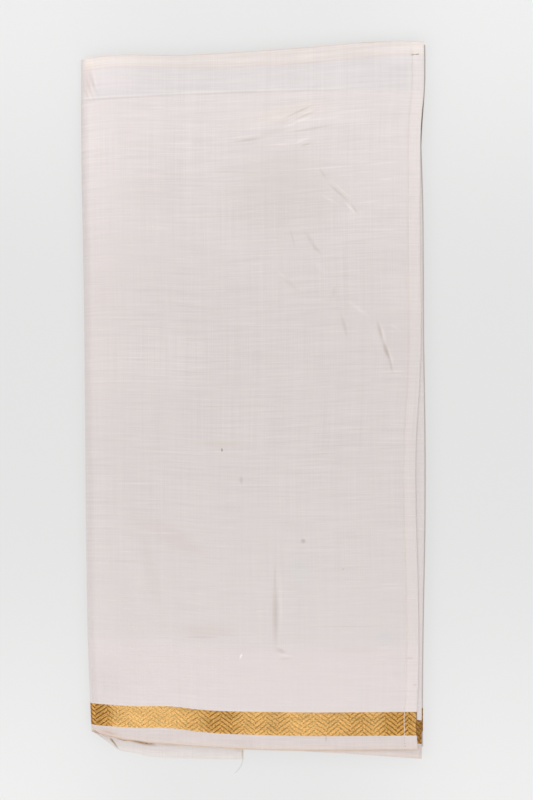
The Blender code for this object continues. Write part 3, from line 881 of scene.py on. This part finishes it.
SECOND_END = ((-330, 153.6), (-273, 153.6), (-228, 154.0), (-182, 154.7), (-136, 155.6),
              (-91, 156.1), (-45, 156.1), (0, 155.6), (55, 154.7), (128, 154.4), (183, 153.8),
              (201, 153.2), (228, 152.3), (252, 151.8), (272, 152.4), (287, 153.8), (330, 154.4))
SECOND_FOOT = ((-157, -297.0), (-147, -300.0), (43, -319.2), (106, -323.3), (157, -326.9))
second_end, second_foot = edge(SECOND_END), edge(SECOND_FOOT)
SECOND_INSET = 2 * HEAD_TURN
SECOND_REACH = SIDE_FOLD_DEPTH - SECOND_INSET
SECOND_FLOOR = SECOND_INSET - CLOTH
SECOND_STOP = FREE_END_X - 3.5 * MM


def second_left(y):
    """Left side of the second half, inside the outermost ply's rounding."""
    return left_side(y) + SECOND_INSET


def second_height(x, y):
    """Top face of the second half: it follows the top ply, and lies lower at the foot."""
    sag = smooth(-296 * MM, -326 * MM, y) * smooth(20 * MM, 150 * MM, x)
    return PACKET_TOP - SECOND_INSET + CLOTH - droop(x, y) + relief(x, y) - 1.2 * MM * sag


def second_border_foot(x):
    """Lower edge of the second half's gold border."""
    return second_foot(x) + SELVEDGE_WIDTH


def second_border_top(x):
    """Upper edge of the second half's gold border."""
    return second_border_foot(x) + border_width(x)


def second_flap_foot(x):
    """Foot of the second half below, which stops short of the packet's own foot."""
    return np.maximum(flap_foot(x), foot(x)) + 2.6 * MM


def second_flap_border(x):
    """Lower edge of its border there."""
    return second_flap_foot(x) + flap_selvedge_width(x)


SECOND_COLUMNS = spaced(-143.3, 150.8, 7.0, ((104, 134, 2.0), (140, 151, 2.5)))
second_section = np.vstack([
    hem_round(HEM_TURN), face_run(SECOND_COLUMNS),
    side_round(SECOND_REACH, PACKET_TOP / 2 - SECOND_INSET, HEM_TURN),
    run((1, 0, SECOND_REACH), (0, 0, SECOND_STOP), np.linspace(0, 1, 24), 0.0,
        outward=(0.0, -1.0))])
second_across = thread_count(second_section, -152 * MM, 156 * MM, PACKET_TOP / 2 - SECOND_INSET)
second_top_edge = by_side(second_border_top, lambda x: second_flap_border(x) + border_width(x))
second_gold_edge = by_side(second_border_foot, second_flap_border)
second_free_edge = by_side(second_foot, second_flap_foot)

SECOND_START, SECOND_TOP = -290.0, 306.0
SECOND_ROWS = spaced(SECOND_START, SECOND_TOP, 8.0, ((10, 80, 3.0), (262, 306, 3.0)))
second_shares = (SECOND_ROWS - SECOND_START) / (SECOND_TOP - SECOND_START)
second_field = lay(second_section, second_shares, second_top_edge,
                   ends_at(head_fold_line, 0.4 * MM), second_left, second_end, second_height,
                   SECOND_FLOOR)
# A ply that shows none of the face's lines: it is off its face, and far from each of them.
FAR_NOTES = {"face": 0.0, "from_head": 1.0, "from_hem": 1.0, "from_left": 1.0,
             "past_border": 1.0, "past_core": -1.0, "past_fold": -1.0}
second_silk = add_cloth("second_ply_silk", second_field, second_across, SECOND_ROWS * MM,
                        cream_silk, FAR_NOTES)
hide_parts("second_panel")
second_band = lay_band(second_section, 8, second_gold_edge, second_top_edge, second_left,
                       second_end, second_height, SECOND_FLOOR, 0.08 * MM)
second_zari = add_cloth("second_ply_gold_border", second_band, second_across,
                        np.linspace(-305, -284, 8) * MM, gilt_border, {"from_hem": 1.0})
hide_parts("second_border")
second_strip = lay_band(second_section, 7, second_free_edge, second_gold_edge, second_left,
                        second_end, second_height, SECOND_FLOOR)
second_selvedge = add_cloth(
    "second_ply_selvedge", second_strip, second_across, np.linspace(-319, -305, 7) * MM,
    plain_selvedge,
    {"from_edge": second_strip[1] - second_free_edge(second_strip[0], second_section[:, 3:4])
     + 1.2 * MM,
     "flap": 0.0, "outermost": 1.0, "from_hem": 1.0})
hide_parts("second_selvedge")

# ---- The hidden panels -------------------------------------------------------------------
# Ten more panels of the cloth, zigzagged along its length, each doubled at the head. Only
# their folds show, as thin uneven layers at the right side and at the foot.

PANELS = 10
PANEL_LOW, PANEL_HIGH = 1.3 * MM, 6.25 * MM
PANEL_PITCH = (PANEL_HIGH - PANEL_LOW) / PANELS
PANEL_TURN = 0.42 * PANEL_PITCH
# How far in each one lies, from the table up: columns at the right, at the foot, at the head.
PANEL_INSETS = ((3.6, 2.7, 1.6), (2.6, 4.0, 0.4), (4.4, 3.1, 2.6), (3.1, 2.5, 1.1),
                (2.5, 4.6, 3.0), (3.9, 3.3, 0.6), (2.7, 2.6, 2.2), (3.4, 3.9, 1.3),
                (4.1, 3.5, 1.9), (2.6, 2.9, 0.2))


def pouch_section(left_start, turn):
    """Columns of a panel folded at the right: in along its lower ply, round and back."""
    legs = np.linspace(0, 1, 24) ** 0.9
    low = run((1, 0, left_start), (0, 1, -turn), legs, 0.0, outward=(0.0, -1.0), depth=turn)
    angle = np.linspace(-np.pi / 2, np.pi / 2, 10)[1:-1]
    flat = np.zeros_like(angle)
    bend = np.stack([flat, flat + 1, turn * (np.cos(angle) - 1), (1 + np.sin(angle)) / 2, flat,
                     np.cos(angle), np.sin(angle), flat + turn], axis=1)
    high = run((0, 1, -turn), (1, 0, left_start), 1 - legs[::-1], 1.0, depth=turn)
    return np.vstack([low, bend, high])


for number, (in_right, in_foot, in_head) in enumerate(PANEL_INSETS):
    middle = PANEL_LOW + PANEL_PITCH * (number + 0.5)
    bulge = np.sqrt(1 - ((middle - PACKET_TOP / 2) / (PACKET_TOP / 2 - 0.8 * MM)) ** 2)
    section = pouch_section(SIDE_FOLD_DEPTH - 7.4 * MM * bulge, PANEL_TURN)
    ripple = 0.35 * MM * np.sin(number * 2.4)

    def panel_right(y, inset=in_right, ripple=ripple, number=number):
        """Right fold of this panel, not quite straight."""
        return second_end(y) - inset * MM + ripple * np.sin(y / (52 * MM) + number)

    def panel_foot(x, height, inset=in_foot, ripple=ripple, number=number):
        """Foot of this panel, not quite straight."""
        return np.maximum(foot(x), flap_foot(x)) + inset * MM + ripple * np.sin(x / (31 * MM) + number)

    def panel_head(x, height, inset=in_head):
        """Head fold of this panel."""
        return core_head(x) - inset * MM - PANEL_TURN

    turns = np.linspace(0, np.pi / 2, 5)[1:]
    places = fold_over(lay(section, np.linspace(0, 1, 40), panel_foot, panel_head, left_side,
                           panel_right, lambda x, y: np.full_like(x, middle + PANEL_TURN),
                           middle - PANEL_TURN), section, turns, np.array([]))
    across = thread_count(section, -152 * MM, 154 * MM, PANEL_TURN)
    along = np.concatenate([np.linspace(-308, 280, 40), 280 + PANEL_TURN / MM * turns]) * MM
    panel = add_cloth(f"hidden_panel_{number + 1}", places, across, along, cream_silk,
                      FAR_NOTES, 0.6 * PANEL_TURN)
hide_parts("folded_core")

# ---- The panel on the table, beside the flap ---------------------------------------------
# The lowest hidden panel starts where the wrapped ply ends. It lies on the table with its own border
# and selvedge at the foot, and is folded at the right. The strip of its right fold that lies out past
# the plies above is darkened as painted shade along the packet's right edge.

BESIDE_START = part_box("under_panel")[0].x
BESIDE_TURN = 0.45 * MM
beside_foot = ends_at(foot, -2.5 * MM)
beside_gold = ends_at(foot, -2.5 * MM - SELVEDGE_WIDTH)
beside_head = ends_at(head, 2.5 * MM)


def beside_top(x, height):
    """Upper edge of this panel's gold border."""
    return beside_gold(x, height) + border_width(x)


def shaded_from(y):
    """Where the plies above stop, at the right."""
    return np.maximum(second_end(y), hemmed_end(y))


def beside_right(y):
    """Right fold of this panel, the only one that lies out past the plies above: its strip out there
    carries painted shade along the packet's right edge.
    """
    return shaded_from(y) + 1.5 * MM


beside_section = pouch_section(0.0, BESIDE_TURN)
beside_section[:, 2] += beside_section[:, 0] * BESIDE_START
beside_section[:, 0] = 0
beside_across = thread_count(beside_section, 0.0, 157 * MM, BESIDE_TURN)
for ending, rows, lower, upper, material, slot, count in (
        ("silk", np.linspace(-284, 316, 40), beside_top, beside_head, cream_silk, "silk", 40),
        ("gold_border", np.linspace(-305, -284, 5), beside_gold, beside_top, gilt_border, "zari", 5),
        ("selvedge", np.linspace(-318, -305, 4), beside_foot, beside_gold, plain_selvedge,
         "selvedge", 4)):
    places = lay_band(beside_section, count, lower, upper, left_side, beside_right,
                      lambda x, y: np.full_like(x, 2 * BESIDE_TURN), 0.0)
    x, y, _ = places
    # How much painted shade its right fold carries: more towards the head, most just short of it.
    painted_shade = 0.2 + 0.25 * smooth(150 * MM, 215 * MM, y)
    painted_shade = painted_shade + 0.6 * smooth(236 * MM, 250 * MM, y) * smooth(278 * MM, 266 * MM, y)
    notes = dict(FAR_NOTES, from_edge=y - beside_foot(x, 0), flap=0.0, outermost=0.0,
                 painted_shade=painted_shade * smooth(-2 * MM, -0.5 * MM, x - shaded_from(y)))
    add_cloth("panel_beside_flap_" + ending, places, beside_across,
                                     rows * MM, material, notes, 0.2 * MM)
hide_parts("under_panel")
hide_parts("under_border")
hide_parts("under_selvedge")

# ---- Stitches and loose thread -----------------------------------------------------------
# Cream sewing thread: a row of running stitches holds the hem, a short brown tack closes
# its corner at the head, and one thread hangs from the flap's cut end.

STITCH_PITCH = 3.0 * MM
STITCH_LENGTH = 2.1 * MM
STITCH_WIDTH = 0.45 * MM


def thread_material(name, colour):
    """Twisted sewing thread: a fine slanting stripe along it."""
    material, tree, shader, cloth = start_material(name, 0.6, 0.1)
    twist = streaks(tree, cloth, (900, 2400), 1.0)
    shade = step(tree, "VectorMath", {0: colour, 3: sums(tree, "MULTIPLY_ADD", twist, 0.3, 1.0)},
                 operation="SCALE")
    tree.links.new(shade, shader.inputs["Base Color"])
    bumped(tree, shader, twist, 0.05 * MM)
    return material


def add_threads(name, starts, ends, lift, width, material):
    """Short threads as low humps: a ring, thinner at both ends, carried from start to end,
    rising as a sine."""
    t = np.linspace(0, 1, 6)[None, :, None]
    turn = np.linspace(0, 2 * np.pi, 7)[:-1][None, None, :]
    line = ends - starts
    length = np.linalg.norm(line[:, :2], axis=1)[:, None, None]
    side_x, side_y = -line[:, 1, None, None] / length, line[:, 0, None, None] / length
    radius = np.reshape(width, (-1, 1, 1)) / 2 * np.sqrt(np.sin(np.pi * (0.04 + 0.92 * t)))
    x = starts[:, 0, None, None] + line[:, 0, None, None] * t + side_x * radius * np.cos(turn)
    y = starts[:, 1, None, None] + line[:, 1, None, None] * t + side_y * radius * np.cos(turn)
    z = (starts[:, 2, None, None] + line[:, 2, None, None] * t + lift * np.sin(np.pi * t)
         + radius * np.sin(turn))
    count, rings, sides = x.shape
    index = np.arange(count * rings * sides).reshape(count, rings, sides)
    after = np.roll(index, -1, axis=2)
    walls = np.stack([index[:, :-1], index[:, 1:], after[:, 1:], after[:, :-1]], axis=-1)
    faces = walls.reshape(-1, 4).tolist()
    faces += index[:, 0, :].tolist() + index[:, -1, ::-1].tolist()
    mesh = bpy.data.meshes.new(name)
    mesh.from_pydata(np.stack([x, y, z], axis=-1).reshape(-1, 3).tolist(), [], faces)
    mesh.uv_layers.new(name="weave")
    mesh.materials.append(material)
    mesh.shade_smooth()
    piece = bpy.data.objects.new(name, mesh)
    bpy.context.scene.collection.objects.link(piece)
    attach(piece, "root")
    return piece


def on_top(x, y):
    """Points on the top ply's face."""
    return np.stack([x, y, top_height(x, y)], axis=1)


stitch_y = np.arange(-317.0 * MM, 318 * MM, STITCH_PITCH)
stitch_y = stitch_y + 0.25 * MM * np.sin(stitch_y * 911)
on_gold = (stitch_y > -306 * MM) & (stitch_y < -282 * MM)
stitch_end = stitch_y + np.where(on_gold, 2.95 * MM, STITCH_LENGTH)
in_from_end = HEM_WIDTH - 0.9 * MM + 0.7 * MM * smooth(-270 * MM, -290 * MM, stitch_y)
stitch_x = hemmed_end(stitch_y) - in_from_end + 0.12 * MM * np.sin(stitch_y * 523)
stitch_end_x = hemmed_end(stitch_end) - in_from_end + 0.12 * MM * np.sin(stitch_y * 523 + 1)
add_threads("hem_stitches", on_top(stitch_x, stitch_y), on_top(stitch_end_x, stitch_end),
            0.12 * MM, np.where(on_gold, 0.85 * MM, STITCH_WIDTH),
            thread_material("cream sewing thread", (0.76, 0.69, 0.645)))
# The needle holes are small dark humps: painted shade standing in for the holes.
hole_y = np.arange(-315.5 * MM, -306 * MM, 2.6 * MM)
hole_x = hemmed_end(hole_y) - HEM_WIDTH + 0.2 * MM
add_threads("needle_holes", on_top(hole_x, hole_y), on_top(hole_x, hole_y + 1.1 * MM), 0.0,
            0.7 * MM, thread_material("needle-hole painted shade", (0.42, 0.38, 0.36)))
tack = np.array([[143.6, 315.2], [147.4, 315.5], [151.4, 315.9]]) * MM
add_threads("corner_tack", on_top(tack[:-1, 0], tack[:-1, 1]), on_top(tack[1:, 0], tack[1:, 1]),
            0.15 * MM, 0.8 * MM, thread_material("brown tack thread", (0.42, 0.33, 0.27)))
loose = np.array([[-9.3, -326.5, 0.35], [-9.9, -330.5, 0.5], [-11.6, -334.6, 0.3],
                  [-14.2, -337.9, 0.3], [-16.8, -340.3, 0.3]]) * MM
add_threads("loose_thread", loose[:-1], loose[1:], 0.0, 0.35 * MM,
            thread_material("loose silk thread", (0.52, 0.50, 0.48)))

# ---- The studio --------------------------------------------------------------------------
# A plain pale table, wide soft lights beyond the head and the foot, a softer one low at
# the left, and a long lens looking straight down.

FIELD_HEIGHT = 0.7288         # length of table that the camera takes in, foot to head
LENS = 125.0
SENSOR = 36.0


def floor_material():
    """Smooth pale paper on a light table: most of its brightness is its own glow, painted light, so
    the packet's shadows on it are faint, less so beyond the head. The glow is a little brighter in the
    corners."""
    material = bpy.data.materials.new("pale table")
    material.use_nodes = True
    tree = material.node_tree
    shader = tree.nodes["Principled BSDF"]
    place = step(tree, "TexCoord", output=3)
    mottle = streaks(tree, place, (3, 3), 3.0)
    tone = sums(tree, "MULTIPLY_ADD", mottle, 0.03, 1.0)
    up = step(tree, "SeparateXYZ", {0: place}, output=1)
    glow = ramp(tree, up, 0.29, 0.36, 0.74, 0.5)
    lit = sums(tree, "SUBTRACT", 1.0, glow)
    off_middle = sums(tree, "ABSOLUTE", up)
    aside = sums(tree, "ABSOLUTE", step(tree, "SeparateXYZ", {0: place}))
    corner = sums(tree, "MULTIPLY", ramp(tree, aside, 0.05, 0.22), ramp(tree, off_middle, 0.1, 0.38))
    ends = ramp(tree, off_middle, 0.02, 0.38, 0.96, 0.975)
    ends = sums(tree, "MULTIPLY_ADD", corner, 0.1, ends)
    paper = (0.802, 0.80, 0.797)
    colour = step(tree, "VectorMath", {0: paper, 3: sums(tree, "MULTIPLY", tone, lit)},
                  operation="SCALE")
    tree.links.new(colour, shader.inputs["Base Color"])
    colour = step(tree, "VectorMath", {0: paper, 3: sums(tree, "MULTIPLY", glow, ends)},
                  operation="SCALE")
    tree.links.new(colour, shader.inputs["Emission Color"])
    shader.inputs["Emission Strength"].default_value = 1.0
    shader.inputs["Roughness"].default_value = 0.75
    shader.inputs["Specular IOR Level"].default_value = 0.2
    return material


floor_mesh = bpy.data.meshes.new("floor")
floor_mesh.from_pydata([(-30, -30, -0.0003), (30, -30, -0.0003), (30, 30, -0.0003),
                        (-30, 30, -0.0003)], [], [(0, 1, 2, 3)])
floor_mesh.materials.append(floor_material())
floor = bpy.data.objects.new("floor", floor_mesh)
bpy.context.scene.collection.objects.link(floor)

world = bpy.data.worlds.new("studio")
world.use_nodes = True
world.node_tree.nodes["Background"].inputs["Color"].default_value = (0.98, 0.99, 1.0, 1)
world.node_tree.nodes["Background"].inputs["Strength"].default_value = 0.56
bpy.context.scene.world = world

# Soft lights: columns name, place, aim, width, length, power.
for name, place, aim, width, length, power in (
        ("head_light", (0.0, 0.65, 0.5), (0.0, 0.45, 0.0), 1.8, 0.3, 2.97),
        ("foot_light", (0.0, -0.65, 0.5), (0.0, -0.45, 0.0), 1.8, 0.3, 2.62),
        ("side_light", (-1.1, -0.45, 0.8), (0.0, 0.0, 0.0), 0.6, 0.6, 3.0),
        ("fill_light", (1.1, 0.2, 0.9), (0.0, 0.0, 0.0), 0.8, 0.8, 2.39)):
    lamp = bpy.data.lights.new(name, "AREA")
    lamp.shape = "RECTANGLE"
    lamp.size, lamp.size_y, lamp.energy = width, length, power
    light = bpy.data.objects.new(name, lamp)
    direction = np.array(aim) - np.array(place)
    light.location = place
    light.rotation_euler = (float(np.arccos(-direction[2] / np.linalg.norm(direction))), 0.0,
                            float(np.arctan2(direction[1], direction[0]) - np.pi / 2))
    bpy.context.scene.collection.objects.link(light)

lens = bpy.data.cameras.new("camera")
lens.lens, lens.sensor_width = LENS, SENSOR
camera = bpy.data.objects.new("camera", lens)
camera.location = (0.0121, 0.0005, PACKET_TOP + FIELD_HEIGHT * LENS / SENSOR)
bpy.context.scene.collection.objects.link(camera)
bpy.context.scene.camera = camera
bpy.context.scene.view_settings.view_transform = "Standard"
